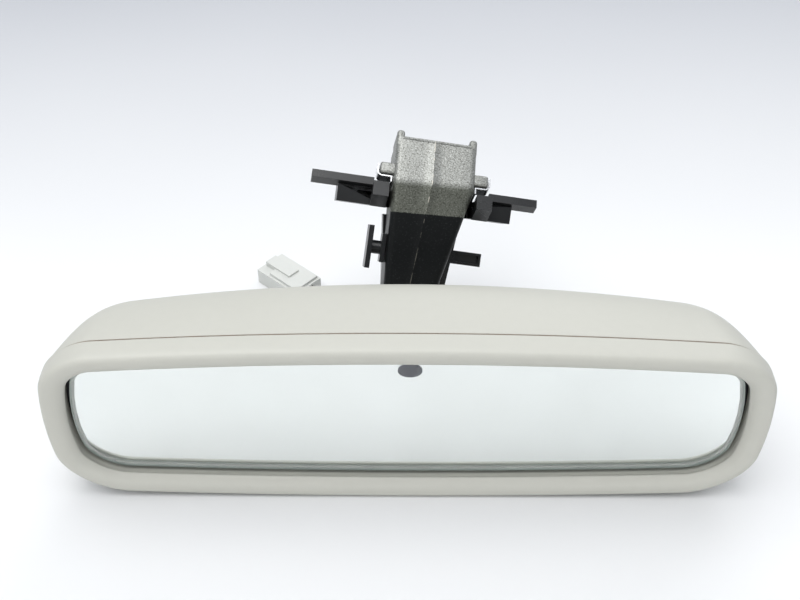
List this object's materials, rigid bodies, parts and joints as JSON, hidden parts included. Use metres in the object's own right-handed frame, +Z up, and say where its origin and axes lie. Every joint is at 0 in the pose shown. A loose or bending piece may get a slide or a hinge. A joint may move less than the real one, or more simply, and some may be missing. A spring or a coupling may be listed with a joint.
{
  "type": "interior rearview mirror",
  "caption": "Interior rearview mirror with a self-dimming glass in a two-part beige casing, on a ball joint and a cast arm with a snap-in foot.",
  "frame": {"origin": "centre of the object, without its lead, on the surface that the head stands on", "axes": "+X to the right along the head as seen from the glass side, +Y from the glass towards the arm, +Z up"},
  "size_m": [0.2524, 0.1324, 0.0938],
  "materials": {
    "housing_beige": "fine-grained moulded warm grey",
    "pane": "clear float glass with ground edges",
    "gel": "clear dimming gel",
    "seal": "cured epoxy",
    "reflector": "silvered float glass",
    "window_filter": "dark filter",
    "clip_metal": "tinned strip",
    "foam": "closed-cell foam",
    "inner_plastic": "glass-filled black",
    "board": "solder mask",
    "chip": "moulded epoxy",
    "can": "drawn cans",
    "clear_pipe": "smoked clear",
    "nylon_white": "natural nylon",
    "zinc_steel": "zinc plated",
    "ball_steel": "ground steel",
    "casting": "as-cast foot, satin black paint on the arm",
    "spring_steel": "bright spring strip",
    "black_plastic": "fine-grained black",
    "black_rubber": "moulded rubber",
    "cable_sleeve": "woven tape over wires",
    "terminal": "tinned contacts"
  },
  "bodies": {
    "head": {"front_bezel": "housing_beige", "rear_housing": "housing_beige", "front_glass": "pane", "gel_layer": "gel", "perimeter_seal": "seal", "rear_mirror_glass": "reflector", "sensor_window": "window_filter", "contact_clips": "clip_metal", "foam_pad": "foam", "glass_carrier": "inner_plastic", "circuit_board": "board", "controller_chip": "chip", "capacitors": "can", "glare_sensor": "chip", "ambient_sensor": "chip", "light_pipe": "clear_pipe", "board_header": "nylon_white", "board_plug": "nylon_white", "inner_lead": "cable_sleeve", "board_screws": "zinc_steel", "socket_plate": "zinc_steel", "socket_clamp": "zinc_steel", "clamp_washers": "zinc_steel", "socket_screws": "zinc_steel", "lead_grommet": "black_rubber", "lead": "cable_sleeve", "connector_housing": "nylon_white", "connector_terminals": "terminal"},
    "liner": {"socket_liner": "nylon_white"},
    "ring": {"friction_ring": "zinc_steel"},
    "mount": {"ball_stud": "ball_steel", "stud_nut": "zinc_steel", "mount_arm": "casting", "retaining_spring": "spring_steel", "wing_bracket": "black_plastic", "cable_cover": "black_plastic", "cover_screws": "zinc_steel", "cable_clip": "black_plastic"}
  },
  "joints": [
    {"name": "swing", "type": "hinge", "parent": "head", "child": "liner", "pos_m": [0, -0.0164, 0.037], "axis": [0, 0, 1], "range_deg": [-20, 20]},
    {"name": "tilt", "type": "hinge", "parent": "liner", "child": "ring", "pos_m": [0, -0.0164, 0.037], "axis": [1, 0, 0], "range_deg": [-12, 12]},
    {"name": "roll", "type": "hinge", "parent": "ring", "child": "mount", "pos_m": [0, -0.0164, 0.037], "axis": [0, 1, 0], "range_deg": [-20, 2]}
  ]
}
